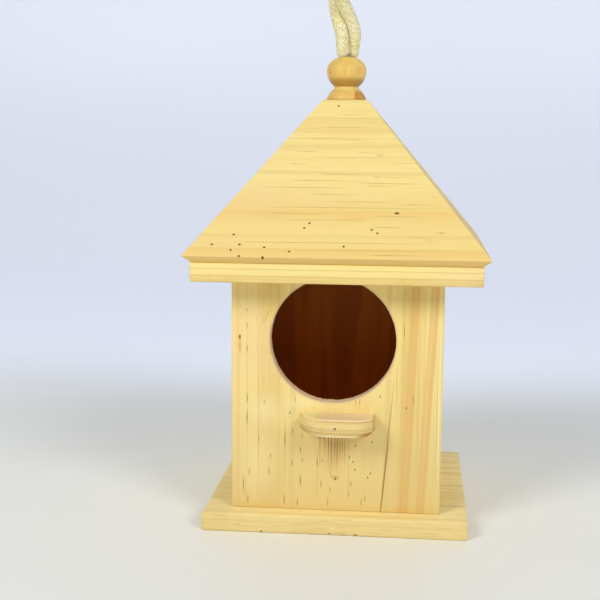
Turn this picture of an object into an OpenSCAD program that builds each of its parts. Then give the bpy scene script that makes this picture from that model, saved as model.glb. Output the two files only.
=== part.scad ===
// Wooden birdhouse: a square box on a base board, under a four-board pyramid roof
// with a turned ball finial and a cotton hanging loop.
// The origin is the centre of the base's underside. +Z is up and the entrance faces -Y.

/* [House] */
// Outer width and depth of the square box
body_w = 100; // [90:1:104]
// Height of the walls that shows between the base and the eave board
wall_reveal = 111.5; // [104:0.5:120]
// Thickness of the four walls
wall_t = 7; // [6:0.5:9]

/* [Base] */
// Width of the base board, side to side
base_w = 126; // [120:1:132]
// Depth of the base board, front to back
base_d = 123; // [120:1:132]
// Thickness of the base board
base_t = 8.5; // [7:0.5:10]

/* [Entrance] */
// Diameter of the entrance hole
hole_d = 59.5; // [50:0.5:62]
// Height of the hole's centre above the base board
hole_up = 82.6; // [76:0.1:84]
// How far the hole is off the wall's centre line
hole_x = -1.8; // [-3:0.1:3]

/* [Perch] */
// Width of the perch where it meets the wall
perch_w = 35.4; // [28:0.1:38]
// How far the perch stands out from the wall
perch_out = 16; // [15:0.5:17]
// Thickness of the perch
perch_t = 8.5; // [6:0.5:10]
// Gap between the entrance hole and the top of the perch
perch_gap = 4.3; // [2:0.1:8]
// How far the perch is off the wall's centre line
perch_x = 0.7; // [-3:0.1:3]
// Radius of the perch's left front corner
perch_left_r = 14; // [10:0.5:15]
// Radius of the perch's right front corner
perch_right_r = 8; // [5:0.5:12]

/* [Roof] */
// Width and depth of the eave board that the roof stands on
eave_w = 133.5; // [130:0.5:136]
// Thickness of the eave board
eave_t = 9; // [8:0.5:10]
// Depth of the housing under the eave board that takes the tops of the walls
housing = 4; // [3:0.5:5]
// Width and depth of the roof at its lower arris
roof_w = 140; // [138:0.5:142]
// Height of the roof from its lower arris to the flat cap
roof_h = 71.8; // [64:0.1:76]
// Thickness of the four roof boards
roof_t = 8; // [7:0.5:9]
// Height of the lower arris above the eave board
arris_up = 3.2; // [3:0.1:3.6]
// Width of the flat cap that carries the finial
cap_w = 21.6; // [21:0.1:22.5]

/* [Finial] */
// Diameter of the ball
ball_d = 19.8; // [18:0.1:21]
// Height of the ball's widest place above the roof's cap
ball_up = 14.5; // [13:0.1:14.8]
// Height of the ball's flatter upper half
ball_rise = 7.5; // [6:0.1:9]
// Diameter of the neck below the ball
neck_d = 11.6; // [11:0.1:13]
// Diameter of the flared foot
foot_d = 19.8; // [17:0.1:20.5]
// Diameter of the hole through the finial and the cap for the rope
rope_bore = 8; // [7.5:0.1:8.5]

/* [Rope] */
// Diameter of the braided cotton rope
rope_d = 6; // [5.5:0.1:6.2]
// Diameter of the stopper knot inside the roof
knot_d = 14.8; // [13:0.1:14.8]

/* [Fixings] */
// Diameter of the headless brads
brad_d = 1.2; // [1:0.1:1.6]
// Diameter of the nail shanks
nail_d = 1.6; // [1.4:0.1:2]
// Diameter of the nail heads
nail_head_d = 3.6; // [3:0.1:4]

/* [Hidden] */
$fn = 96;

// Colours
pine = [0.93, 0.82, 0.55];
golden_pine = [0.91, 0.74, 0.42];
cotton = [0.91, 0.87, 0.70];
steel = [0.62, 0.62, 0.60];

// Heights of the main faces above the floor
eave_z = base_t + wall_reveal;
wall_top = eave_z + housing;
roof_z = eave_z + eave_t;
arris_z = roof_z + arris_up;
cap_z = arris_z + roof_h;
hole_z = base_t + hole_up;
perch_top = hole_z - hole_d / 2 - perch_gap;

// The box
front_y = -body_w / 2;
wall_h = wall_top - base_t;
side_depth = body_w - 2 * wall_t;
wall_mid = body_w / 2 - wall_t / 2;

// The roof boards, whose slope follows from the roof's height and overhang
roof_slope = atan2(roof_h, (roof_w - cap_w) / 2);
roof_inset = [roof_t * sin(roof_slope), -roof_t * cos(roof_slope)];
seat_out = roof_w / 2 - arris_up * tan(roof_slope);
seat_in = roof_w / 2 - roof_inset[0] - (arris_up + roof_inset[1]) / tan(roof_slope);
cap_in = cap_w / 2 - roof_t / sin(roof_slope);

// The perch's sides and front
perch_left = perch_x - perch_w / 2;
perch_right = perch_x + perch_w / 2;
perch_front = front_y - perch_out;

// The finial's flare, as fractions of the height between its foot and its neck
foot_edge = 1.7;
neck_up = 7.2;
flare_h = neck_up - foot_edge;

// Fixings
brad_in_wall = wall_t - 1.2;
brad_l = 22;
brad_heights = [0.16, 0.5, 0.84];
perch_brad_l = 21;
nail_l = 24;
nail_head_t = 0.7;
nail_sink = 0.3;
eave_nail_l = 20;
nail_spread = 30;

// The rope fills its bore with a little play, and fans out into two strands above the ball
tails_r = rope_bore / 2 - 0.1;
knot_z = cap_z - 11.3;
knot_flat = knot_z + 6.2;
fan_h = 4.9;
fan_overlap = 0.5;
ball_top = cap_z + ball_up + ball_rise * sqrt(1 - pow(rope_bore / ball_d, 2));
loop_z = ball_top + fan_h;

// Route of the free loop, from the left strand over the top to the right strand.
// Heights are above the place where the strands leave the ball.
loop_route = [
    [-2, -1.9, 0], [-2.6, -1.2, 6], [-4.5, 0.2, 12.5], [-6.1, 2.6, 19.5], [-6.7, 6, 26.5], [-7.5, 9.5, 33],
    [-8.5, 13, 39.5], [-9, 15, 46.5], [-9.5, 14, 53.5], [-10, 10, 59.5], [-10, 4, 63], [-10, -3, 63.5],
    [-10, -9.5, 60.5], [-9.5, -14, 55], [-9, -15.5, 48], [-8, -14.5, 41], [-7, -12, 34.5],
    [-5.5, -8.5, 28], [-2.7, -5, 22], [0.6, -1.6, 15.5], [3.4, 0.9, 8], [2.85, 1.85, 0]];
rope_sides = 12;
rings_per_span = 3;

// ---- Helpers ----

// A point on the smooth curve through the route, where t counts the route's points
function route_at(route, t) =
    let (n = len(route),
         i = min(floor(t), n - 2),
         u = t - i,
         a = route[max(i - 1, 0)],
         b = route[i],
         c = route[i + 1],
         d = route[min(i + 2, n - 1)])
    0.5 * (2 * b + (c - a) * u + (2 * a - 5 * b + 4 * c - d) * u * u
           + (3 * b - a - 3 * c + d) * u * u * u);

function unit(v) = v / norm(v);

// Ring of points across the curve, which never runs along X; the two end rings lie flat
function ring_at(route, t, radius, sides) =
    let (n = len(route) - 1,
         flat = t <= 0 || t >= n,
         along = flat ? [0, 0, t <= 0 ? 1 : -1] : unit(route_at(route, t + 0.01) - route_at(route, t - 0.01)),
         side = unit(cross([1, 0, 0], along)),
         other = cross(along, side),
         centre = route_at(route, t))
    [for (k = [0:sides - 1])
        centre + radius * (cos(360 * k / sides) * side + sin(360 * k / sides) * other)];

// Round tube swept along a route, closed at both ends
module tube(route, radius, sides, per_span) {
    rings = (len(route) - 1) * per_span;
    points = [for (j = [0:rings]) each ring_at(route, j / per_span, radius, sides)];
    skin = [for (j = [0:rings - 1], k = [0:sides - 1], half = [0, 1])
        let (a = j * sides + k,
             b = j * sides + (k + 1) % sides,
             c = b + sides,
             d = a + sides)
        half == 0 ? [a, d, c] : [a, c, b]];
    first = [[for (k = [0:sides - 1]) k]];
    last = [[for (k = [sides - 1:-1:0]) rings * sides + k]];
    polyhedron(points, concat(skin, first, last));
}

module flip_y() {
    mirror([0, 1, 0]) children();
}

module both_sides() {
    children();
    mirror([1, 0, 0]) children();
}

// The brads of both corner joints of one face, drawn at the front
module corner_brads(grow = 0) {
    both_sides()
        for (share = brad_heights)
            translate([wall_mid, front_y + wall_t - brad_in_wall - grow, base_t + share * wall_h])
                rotate([-90, 0, 0]) cylinder(d = brad_d, h = brad_l + 2 * grow);
}

// Two nails in each wall, with the heads at height z and the points along direction up
module wall_nails(z, up, length) {
    for (turn = [0:90:270], offset = [-nail_spread, nail_spread])
        rotate([0, 0, turn]) translate([offset, -wall_mid, z]) rotate([up > 0 ? 0 : 180, 0, 0]) {
            cylinder(d = nail_head_d, h = nail_head_t);
            cylinder(d = nail_d, h = length);
        }
}

module all_base_nails() {
    wall_nails(nail_sink, 1, nail_l);
}

module all_eave_nails() {
    wall_nails(roof_z, -1, eave_nail_l);
}

// Openings above the base nails' heads, which are driven just below the face
module nail_head_sinks() {
    for (turn = [0:90:270], offset = [-nail_spread, nail_spread])
        rotate([0, 0, turn]) translate([offset, -wall_mid, -1]) cylinder(d = nail_head_d, h = 1 + nail_sink);
}

module rope_hole(length) {
    cylinder(d = rope_bore, h = length);
}

// ---- Box ----

module base_board() {
    color(pine) difference() {
        translate([-base_w / 2, -base_d / 2, 0]) cube([base_w, base_d, base_t]);
        all_base_nails();
        nail_head_sinks();
    }
}

// A wall across the whole width of the box, drawn at the front
module end_wall() {
    difference() {
        translate([-body_w / 2, front_y, base_t]) cube([body_w, wall_t, wall_h]);
        corner_brads();
        all_base_nails();
        all_eave_nails();
    }
}

module front_wall() {
    color(pine) difference() {
        end_wall();
        translate([hole_x, front_y - 1, hole_z]) rotate([-90, 0, 0]) cylinder(d = hole_d, h = wall_t + 2);
        perch_brad_solid();
    }
}

module back_wall() {
    color(pine) flip_y() end_wall();
}

// A wall between the front and back walls, drawn on the right
module side_wall() {
    difference() {
        translate([body_w / 2 - wall_t, -side_depth / 2, base_t]) cube([wall_t, side_depth, wall_h]);
        corner_brads();
        flip_y() corner_brads();
        all_base_nails();
        all_eave_nails();
    }
}

module right_wall() {
    color(pine) side_wall();
}

module left_wall() {
    color(pine) mirror([1, 0, 0]) side_wall();
}

// ---- Perch ----

module perch_brad_solid() {
    translate([perch_x, perch_front, perch_top - perch_t / 2])
        rotate([-90, 0, 0]) cylinder(d = brad_d, h = perch_brad_l);
}

// One end of the perch: a round front corner, and the straight part between it and the wall.
// The corner's centre is at x = middle, and its outer side lies in direction outward.
module perch_end(middle, radius, outward) {
    intersection() {
        translate([middle, perch_front + radius, 0]) cylinder(r = radius, h = perch_t);
        translate([middle - radius, perch_front, 0]) cube([2 * radius, radius, perch_t]);
    }
    translate([outward > 0 ? middle : middle - radius, perch_front + radius, 0])
        cube([radius, perch_out - radius, perch_t]);
}

module perch() {
    color(pine) difference() {
        translate([0, 0, perch_top - perch_t]) union() {
            translate([perch_left + perch_left_r, perch_front, 0])
                cube([perch_w - perch_left_r - perch_right_r, perch_out, perch_t]);
            perch_end(perch_left + perch_left_r, perch_left_r, -1);
            perch_end(perch_right - perch_right_r, perch_right_r, 1);
        }
        perch_brad_solid();
    }
}

module perch_brad() {
    color(steel) perch_brad_solid();
}

// ---- Roof ----

module eave_board() {
    color(pine) difference() {
        translate([-eave_w / 2, -eave_w / 2, eave_z]) cube([eave_w, eave_w, eave_t]);
        translate([-body_w / 2, -body_w / 2, eave_z - 1]) cube([body_w, body_w, housing + 1]);
        all_eave_nails();
    }
}

// One mitred roof board, drawn at the front: square-cut below, seated on the eave board
// and level with the cap above
module roof_board() {
    profile = [
        [-roof_w / 2, arris_z],
        [-seat_out, roof_z],
        [-seat_in, roof_z],
        [-cap_in, cap_z],
        [-cap_w / 2, cap_z]];
    difference() {
        intersection() {
            translate([-roof_w / 2, 0, 0]) rotate([90, 0, 90]) linear_extrude(roof_w) polygon(profile);
            linear_extrude(cap_z) polygon([[0, 0], [-roof_w, -roof_w], [roof_w, -roof_w]]);
        }
        rope_hole(cap_z + 1);
    }
}

module roof_front() {
    color(pine) roof_board();
}

module roof_right() {
    color(pine) rotate([0, 0, 90]) roof_board();
}

module roof_back() {
    color(pine) rotate([0, 0, 180]) roof_board();
}

module roof_left() {
    color(pine) rotate([0, 0, 270]) roof_board();
}

// ---- Finial ----

module finial() {
    color(golden_pine) translate([0, 0, cap_z]) difference() {
        union() {
            rotate_extrude() polygon([
                [0, 0],
                [foot_d / 2 - 0.4, 0],
                [foot_d / 2, 0.4],
                [foot_d / 2 - 0.1, foot_edge],
                [foot_d / 2 - 0.8, foot_edge + 0.3 * flare_h],
                [neck_d / 2 + 1, neck_up - 0.25 * flare_h],
                [neck_d / 2, neck_up],
                [0, neck_up]]);
            translate([0, 0, neck_up - 0.2]) cylinder(d = neck_d, h = ball_up - neck_up);
            translate([0, 0, ball_up]) {
                difference() {
                    sphere(d = ball_d);
                    translate([-ball_d, -ball_d, 0]) cube(2 * ball_d);
                }
                rotate_extrude() polygon(concat([[0, 0]], [for (turn = [0:6:90])
                    [ball_d / 2 * cos(turn), ball_rise * sin(turn)]]));
            }
        }
        translate([0, 0, -1]) rope_hole(ball_up + ball_d);
    }
}

// ---- Rope ----

module hanging_rope() {
    color(cotton) translate([0, 0, loop_z]) tube(loop_route, rope_d / 2, rope_sides, rings_per_span);
}

// The two strands squeezed together in the bore, and the short fan above it
module rope_tails() {
    color(cotton) {
        translate([0, 0, knot_flat]) cylinder(r = tails_r, h = ball_top - knot_flat);
        hull() {
            translate([0, 0, ball_top - fan_overlap]) cylinder(r = tails_r - 0.4, h = 0.01, $fn = 32);
            for (end = [loop_route[0], loop_route[len(loop_route) - 1]])
                translate([end[0], end[1], loop_z - 0.01]) cylinder(d = rope_d, h = 0.01, $fn = 32);
        }
    }
}

module rope_knot() {
    color(cotton) {
        difference() {
            translate([0, 0, knot_z]) sphere(d = knot_d);
            translate([-knot_d, -knot_d, knot_flat]) cube(2 * knot_d);
        }
        for (side = [-1, 1])
            translate([side * 2, 0, knot_z]) rotate([0, side * 155, side * 12]) cylinder(d = rope_d, h = 19);
    }
}

// ---- Fixings ----

module wall_brads() {
    color(steel) {
        corner_brads();
        flip_y() corner_brads();
    }
}

module base_nails() {
    color(steel) all_base_nails();
}

module eave_nails() {
    color(steel) all_eave_nails();
}

base_board();
front_wall();
back_wall();
left_wall();
right_wall();
eave_board();
roof_front();
roof_right();
roof_back();
roof_left();
finial();
perch();
perch_brad();
wall_brads();
base_nails();
eave_nails();
hanging_rope();
rope_tails();
rope_knot();
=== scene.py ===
"""Wooden birdhouse: the looks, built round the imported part.

Lengths are in metres unless a name or a comment says mm.
"""
import math
import random

import bmesh
import bpy
from mathutils import Matrix, Vector, noise


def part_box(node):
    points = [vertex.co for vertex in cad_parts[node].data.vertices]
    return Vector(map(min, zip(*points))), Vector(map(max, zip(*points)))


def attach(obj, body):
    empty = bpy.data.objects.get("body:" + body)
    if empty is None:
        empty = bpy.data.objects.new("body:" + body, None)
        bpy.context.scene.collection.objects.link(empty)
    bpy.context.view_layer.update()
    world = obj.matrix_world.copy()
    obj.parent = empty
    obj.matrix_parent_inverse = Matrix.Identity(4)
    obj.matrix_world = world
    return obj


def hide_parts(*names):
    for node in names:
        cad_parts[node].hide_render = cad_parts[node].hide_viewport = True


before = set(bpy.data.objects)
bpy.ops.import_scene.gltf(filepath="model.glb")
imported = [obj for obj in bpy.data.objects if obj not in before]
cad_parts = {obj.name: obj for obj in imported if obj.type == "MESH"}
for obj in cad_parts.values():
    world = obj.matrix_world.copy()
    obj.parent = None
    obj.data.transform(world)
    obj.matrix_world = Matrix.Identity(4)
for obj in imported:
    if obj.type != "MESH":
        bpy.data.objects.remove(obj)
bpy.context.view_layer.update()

MM = 0.001

# Without a seed, noise_vector's offsets come from the clock
NOISE_SEED = 1
noise.seed_set(NOISE_SEED)


def add_object(name, data):
    """Adds an object with this data to the scene."""
    thing = bpy.data.objects.new(name, data)
    bpy.context.scene.collection.objects.link(thing)
    return thing


# ---- Camera ----

CAMERA_AT = Vector((0.0360, -0.5798, 0.1880))
CAMERA_YAW = math.radians(5.763)
CAMERA_PITCH = math.radians(8.305)
CAMERA_ROLL = math.radians(0.412)
CAMERA_LENS_MM = 68.88

camera_data = bpy.data.cameras.new("camera")
camera_data.lens = CAMERA_LENS_MM
camera_data.sensor_width = 36.0
camera_data.clip_start = 0.01
camera = add_object("camera", camera_data)
camera.matrix_world = (Matrix.Translation(CAMERA_AT)
                       @ Matrix.Rotation(CAMERA_YAW, 4, "Z")
                       @ Matrix.Rotation(math.pi / 2 - CAMERA_PITCH, 4, "X")
                       @ Matrix.Rotation(CAMERA_ROLL, 4, "Z"))
bpy.context.scene.camera = camera
bpy.context.scene.view_settings.view_transform = "Standard"


# ---- Sizes read from the part ----

base_low, base_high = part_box("base_board")
front_low, front_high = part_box("front_wall")
back_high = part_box("back_wall")[1]
left_low, left_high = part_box("left_wall")
right_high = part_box("right_wall")[1]
eave_low, eave_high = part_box("eave_board")
roof_low, roof_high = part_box("roof_front")
finial_low, finial_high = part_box("finial")
perch_low, perch_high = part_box("perch")
tails_low, tails_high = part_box("rope_tails")
knot_low, knot_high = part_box("rope_knot")


# ---- Material nodes ----

class Tree:
    """Builds one material's nodes with short calls. Positions are in millimetres."""

    def __init__(self, name):
        self.material = bpy.data.materials.new(name)
        self.material.use_nodes = True
        self.nodes = self.material.node_tree.nodes
        self.links = self.material.node_tree.links
        self.shader = self.nodes["Principled BSDF"]
        metres = self.add("TexCoord", {})["Object"]
        self.place = self.add("VectorMath", {0: metres, "Scale": 1 / MM}, operation="SCALE")["Vector"]

    def join(self, value, socket):
        if isinstance(value, bpy.types.NodeSocket):
            self.links.new(value, socket)
        elif isinstance(value, (tuple, list)) and socket.type == "RGBA" and len(value) == 3:
            socket.default_value = (*value, 1)
        else:
            socket.default_value = value

    def add(self, kind, inputs, **settings):
        """Adds a node, joins values or sockets to its inputs, and returns its outputs."""
        node = self.nodes.new("ShaderNode" + kind)
        for name, value in settings.items():
            setattr(node, name, value)
        for key, value in inputs.items():
            self.join(value, node.inputs[key])
        return node.outputs

    def math(self, operation, a, b=0.0, c=0.0):
        return self.add("Math", {0: a, 1: b, 2: c}, operation=operation)[0]

    def times(self, a, b):
        return self.math("MULTIPLY", a, b)

    def plus(self, a, b):
        return self.math("ADD", a, b)

    def vector(self, operation, a, b=(0, 0, 0), c=(0, 0, 0)):
        outputs = self.add("VectorMath", {0: a, 1: b, 2: c}, operation=operation)
        return outputs["Value" if operation in ("DOT_PRODUCT", "LENGTH") else "Vector"]

    def combine(self, x, y, z):
        return self.add("CombineXYZ", {0: x, 1: y, 2: z})[0]

    def split(self, vector):
        return tuple(self.add("SeparateXYZ", {0: vector}))

    def smooth(self, value, low, high):
        """0 at low and 1 at high, in either order, with soft ends."""
        ends = {"Value": value, "From Min": low, "From Max": high}
        return self.add("MapRange", ends, interpolation_type="SMOOTHSTEP")["Result"]

    def span(self, value, low_off, low_on, high_on, high_off):
        """1 between low_on and high_on, falling to 0 at low_off and high_off."""
        return self.times(self.smooth(value, low_off, low_on), self.smooth(value, high_off, high_on))

    def noise(self, vector, scale=1.0, detail=2.0, rough=0.5):
        inputs = {"Vector": vector, "Scale": scale, "Detail": detail, "Roughness": rough}
        return self.add("TexNoise", inputs)[0]

    def line_noise(self, value, scale, detail=2.0, rough=0.5):
        inputs = {"W": value, "Scale": scale, "Detail": detail, "Roughness": rough}
        return self.add("TexNoise", inputs, noise_dimensions="1D")[0]

    def cells(self, vector, scale=1.0):
        """Distance to the nearest scattered point, and that point's own random number."""
        outputs = self.add("TexVoronoi", {"Vector": vector, "Scale": scale})
        return outputs["Distance"], self.add("SeparateColor", {0: outputs["Color"]})[0]

    def mix(self, amount, a, b):
        return self.add("Mix", {0: amount, 6: a, 7: b}, data_type="RGBA")[2]

    def bump(self, height, distance_mm, strength):
        inputs = {"Height": height, "Distance": distance_mm * MM, "Strength": strength}
        return self.add("Bump", inputs)[0]

    def tune(self, inputs):
        """Joins values or sockets to the shader's inputs."""
        for name, value in inputs.items():
            self.join(value, self.shader.inputs[name])

    def finish(self, colour, roughness, normal):
        self.tune({"Base Color": colour, "Roughness": roughness, "Normal": normal})
        return self.material


# Linear colours of the wood and its marks
PALE = (0.91, 0.73, 0.285)
TAN = (0.83, 0.605, 0.205)
ORANGE = (0.81, 0.50, 0.145)
BROWN = (0.31, 0.135, 0.022)
DARK = (0.085, 0.030, 0.004)
PINK = (0.85, 0.62, 0.35)
CREAM = (0.96, 0.82, 0.42)
LINE = (0.52, 0.36, 0.115)
# Painted shade for the faces inside the nest chamber
CHAMBER_SHADE = (0.58, 0.165, 0.002)
CHAMBER_SHADE_PALE = (0.74, 0.24, 0.004)

# How far below the outer face a latewood band reaches, in mm
BAND_REACH = 9.0
# Where the search for the nearest mark starts, in units of a mark's own size
FAR_OFF = 9.0

CHAMBER_HALF_MM = -left_high.x / MM
CHAMBER_FLOOR_MM = base_high.z / MM


class Wood(Tree):
    """Pine with its grain along one axis.

    In mm, u runs along the grain, v across the face and w through it. face is the value of w at the
    outer face that carries the drawn marks. pith is the (v, w) place of the growth rings' centre, and
    wave says how far the grain wanders from straight.
    """

    def __init__(self, name, along, across, seed, face, pith, light=PALE, dark=TAN, wave=2.0):
        super().__init__(name)
        along = Vector(along).normalized()
        across = Vector(across).normalized()
        self.u = self.vector("DOT_PRODUCT", self.place, tuple(along))
        self.v = self.vector("DOT_PRODUCT", self.place, tuple(across))
        self.w = self.vector("DOT_PRODUCT", self.place, tuple(along.cross(across)))
        self.off_face = self.plus(self.w, -face)
        self.seed = seed
        self.lay_grain(pith, light, dark, wave)

    def stretched(self, along, across, shift=0.0):
        """The place, scaled along and across the grain and moved to a fresh part of the noise."""
        return self.combine(self.plus(self.times(self.u, along), self.seed + shift),
                            self.plus(self.times(self.v, across), shift),
                            self.times(self.w, across))

    def lay_grain(self, pith, light, dark, wave):
        """Growth rings round the pith, fine fibres along the grain, soft clouds and resin canals."""
        drift = self.math("SUBTRACT", self.noise(self.stretched(0.011, 0.05), detail=1.0), 0.5)
        self.bent_v = self.math("MULTIPLY_ADD", drift, wave, self.v)
        side = self.plus(self.bent_v, -pith[0])
        deep = self.plus(self.w, -pith[1])
        ring = self.math("SQRT", self.plus(self.times(side, side), self.times(deep, deep)))
        broad = self.line_noise(self.plus(ring, 13.7 * self.seed), 0.15, 2.0)
        narrow = self.line_noise(self.plus(ring, 31.1 * self.seed), 0.62, 2.0, 0.6)
        fibre = self.noise(self.stretched(0.045, 1.5, 5.0), detail=4.0, rough=0.65)
        hair = self.noise(self.stretched(0.12, 4.5, 9.0), detail=2.0)
        cloud = self.noise(self.stretched(0.018, 0.04, 20.0), detail=3.0)
        fleck = self.noise(self.stretched(0.45, 0.9, 30.0), detail=3.0, rough=0.6)
        self.colour = self.mix(self.times(self.smooth(broad, 0.44, 0.64), 0.85), light, dark)
        for tone, low, high, strength, colour in ((narrow, 0.55, 0.70, 0.24, LINE),
                                                  (cloud, 0.46, 0.72, 0.34, PINK),
                                                  (fibre, 0.52, 0.78, 0.32, LINE),
                                                  (fibre, 0.48, 0.26, 0.35, CREAM),
                                                  (hair, 0.58, 0.78, 0.18, LINE),
                                                  (fleck, 0.52, 0.74, 0.30, TAN)):
            self.paint(colour, strength, self.smooth(tone, low, high))
        near, chance = self.cells(self.stretched(0.13, 0.85, 2.0))
        canal = self.times(self.smooth(near, 0.16, 0.05), self.math("GREATER_THAN", chance, 0.86))
        self.paint(BROWN, 0.40, canal)
        self.fibre = fibre
        fine_relief = self.plus(self.times(hair, 0.25), self.times(canal, -0.4))
        self.relief = self.plus(self.times(fibre, 0.55), fine_relief)

    def paint(self, colour, strength, mask, *others):
        """Mixes a colour in where all its masks are 1."""
        for other in others:
            mask = self.times(mask, other)
        self.colour = self.mix(self.times(mask, strength), self.colour, colour)

    def carve(self, mask, depth):
        """Sinks the surface's relief where the mask is 1."""
        self.relief = self.plus(self.relief, self.times(mask, -depth))

    def strokes(self, rows, colour=LINE, strength=0.5, soft=0.7, slope=0.0, depth=0.0, reach=2.5):
        """Marks on the outer face, as rows of (v, lowest u, highest u, half width).

        Each is a long thin ellipse, tilted by slope. They fade out within reach of the face.
        """
        tilted = self.math("MULTIPLY_ADD", self.u, -slope, self.bent_v)
        place = self.combine(self.u, tilted, self.times(self.off_face, 1 / reach))
        nearest = FAR_OFF
        for v, low, high, half_width in rows:
            middle = (low + high) / 2
            half = (high - low) / 2
            local = self.vector("MULTIPLY_ADD", place, (1 / half, 1 / half_width, 1),
                                (-middle / half, (slope * middle - v) / half_width, 0))
            nearest = self.math("MINIMUM", nearest, self.vector("LENGTH", local))
        mask = self.smooth(nearest, 1.0, 1.0 - soft)
        self.paint(colour, strength, mask)
        if depth:
            self.carve(mask, depth)

    def dots(self, spots, radius=0.55, colour=DARK, strength=0.95, stretch=1.3, reach=2.5):
        """Small pits: worm holes, resin canals and pin knots, at (v, u) places on the outer face."""
        rows = [(v, u - radius * stretch, u + radius * stretch, radius) for v, u in spots]
        self.strokes(rows, colour, strength, soft=0.45, depth=0.4, reach=reach)

    def band(self, place, width, slope=0.0, colour=ORANGE, strength=0.5, sharp=0.4, centre=0.0):
        """A latewood band that deepens across its width and ends sharply.

        Its sharp end lies at v = place + slope * (u - centre).
        """
        edge = self.math("MULTIPLY_ADD", self.u, slope, place - slope * centre)
        off = self.math("SUBTRACT", self.bent_v, edge)
        mask = self.span(off, -width, 0.0, 0.0, math.copysign(sharp, width))
        near_face = self.smooth(self.math("ABSOLUTE", self.off_face), BAND_REACH, BAND_REACH * 0.6)
        self.paint(colour, strength, mask, near_face)

    def patch(self, v, u, reach_v, reach_u, colour, strength):
        """One soft spot of colour on the outer face."""
        self.strokes([(v, u - reach_u, u + reach_u, reach_v)], colour, strength, soft=1.0, reach=6.0)

    def paint_chamber_shade(self):
        """The faces round the nest chamber are painted a deep brown, as painted shade for the dark
        inside.
        """
        x, y, z = self.split(self.place)
        off_middle = self.math("MAXIMUM", self.math("ABSOLUTE", x), self.math("ABSOLUTE", y))
        streak = self.noise(self.stretched(0.008, 0.12, 40.0))
        chamber_shade = self.mix(self.smooth(streak, 0.45, 0.62), CHAMBER_SHADE, CHAMBER_SHADE_PALE)
        self.paint(chamber_shade, 0.97, self.smooth(off_middle, CHAMBER_HALF_MM + 0.5, CHAMBER_HALF_MM + 0.2),
                   self.smooth(z, CHAMBER_FLOOR_MM - 1.5, CHAMBER_FLOOR_MM - 0.5))

    def close(self, bump_mm=0.13, roughness=0.62):
        """Joins colour, roughness and relief to the shader, and returns the material."""
        rough = self.math("MULTIPLY_ADD", self.fibre, 0.16, roughness - 0.08)
        self.tune({"Specular IOR Level": 0.30})
        return self.finish(self.colour, rough, self.bump(self.relief, bump_mm, 0.85))


def scattered(seed, count, v_range, u_range, length, half_width):
    """Rows for strokes, at seeded random places."""
    pick = random.Random(seed)
    rows = []
    for _ in range(count):
        start = pick.uniform(*u_range)
        v = pick.uniform(*v_range)
        rows.append((v, start, start + pick.uniform(*length), pick.uniform(*half_width)))
    return rows


# ---- Meshes ----

# Edges sharper than this stay sharp, in degrees
SHARP_FROM = 40
ROPE_SHARP_FROM = 80


def add_piece(name, shape, material, stands_for, sharp_from=SHARP_FROM):
    """Adds a piece of the object, given as points and faces, in the place of one CAD node."""
    points, faces = shape
    mesh = bpy.data.meshes.new(name)
    mesh.from_pydata([tuple(p) for p in points], [], faces)
    editable = bmesh.new()
    editable.from_mesh(mesh)
    bmesh.ops.recalc_face_normals(editable, faces=editable.faces)
    editable.to_mesh(mesh)
    editable.free()
    mesh.materials.append(material)
    mesh.shade_smooth()
    mesh.set_sharp_from_angle(angle=math.radians(sharp_from))
    piece = add_object(name, mesh)
    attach(piece, "root")
    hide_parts(stands_for)
    return piece


def wavy(point, amount, scale, seed):
    """A small smooth offset that depends only on the place."""
    p = Vector(point) / MM * scale + Vector((seed, seed * 1.7, seed * 0.3))
    return noise.noise_vector(p) * amount


def steps(low, high, spacing, edge):
    """Cuts from low to high: close together near the two rounded edges, even between."""
    count = max(1, round((high - low - 2 * edge) / spacing))
    even = [low + edge + (high - low - 2 * edge) * k / count for k in range(count + 1)]
    near = [0.0, 0.3 * edge]
    return [low + d for d in near] + even + [high - d for d in reversed(near)]


def worn(point, low, high, edge, seed):
    """Moves a box's surface point onto its rounded edges, with small unevenness and a few dents."""
    inner = Vector([min(max(point[k], low[k] + edge), high[k] - edge) for k in range(3)])
    out = point - inner
    on_edge = sum(abs(c) > 0.4 * edge for c in out) >= 2
    out = out.normalized() * edge
    if on_edge:
        dent = max(0.0, noise.noise(point / MM * 0.22 + Vector((seed, 0, 0))) - 0.22) * 0.9 * MM
        out *= 1 - min(0.9, dent / edge)
    shift = wavy(point, 0.10 * MM, 0.05, seed)
    sink = Vector([math.copysign(abs(s), o) if o else 0.0 for s, o in zip(shift, out)])
    return inner + out - sink


BOARD_EDGE = 0.7 * MM
BOARD_SPACING = 4.5 * MM


def board_mesh(low, high, seed, edge):
    """Points and faces of a box with worn edges."""
    cuts = [steps(low[k], high[k], BOARD_SPACING, edge) for k in range(3)]
    last = [len(c) - 1 for c in cuts]
    index = {}
    points = []
    faces = []

    def corner(i, j, k):
        key = (i, j, k)
        if key not in index:
            index[key] = len(points)
            points.append(worn(Vector((cuts[0][i], cuts[1][j], cuts[2][k])), low, high, edge, seed))
        return index[key]

    for axis in range(3):
        a, b = (axis + 1) % 3, (axis + 2) % 3
        for end in (0, last[axis]):
            for i in range(last[a]):
                for j in range(last[b]):
                    ring = []
                    for di, dj in ((0, 0), (1, 0), (1, 1), (0, 1)):
                        key = [0, 0, 0]
                        key[axis], key[a], key[b] = end, i + di, j + dj
                        ring.append(corner(*key))
                    faces.append(ring if end else ring[::-1])
    return points, faces


def box_cutter(low, high):
    """A cutter between two corners."""
    shape = bmesh.new()
    bmesh.ops.create_cube(shape, size=1.0)
    for vertex in shape.verts:
        for k in range(3):
            vertex.co[k] = low[k] if vertex.co[k] < 0 else high[k]
    return shape


def drill_cutter(places, radius, depth):
    """Upright round cutters at (x, y, z) places, where z is the middle of each cutter's height."""
    shape = bmesh.new()
    for place in places:
        bmesh.ops.create_cone(shape, cap_ends=True, segments=32, radius1=radius, radius2=radius,
                              depth=depth, matrix=Matrix.Translation(place))
    return shape


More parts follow.
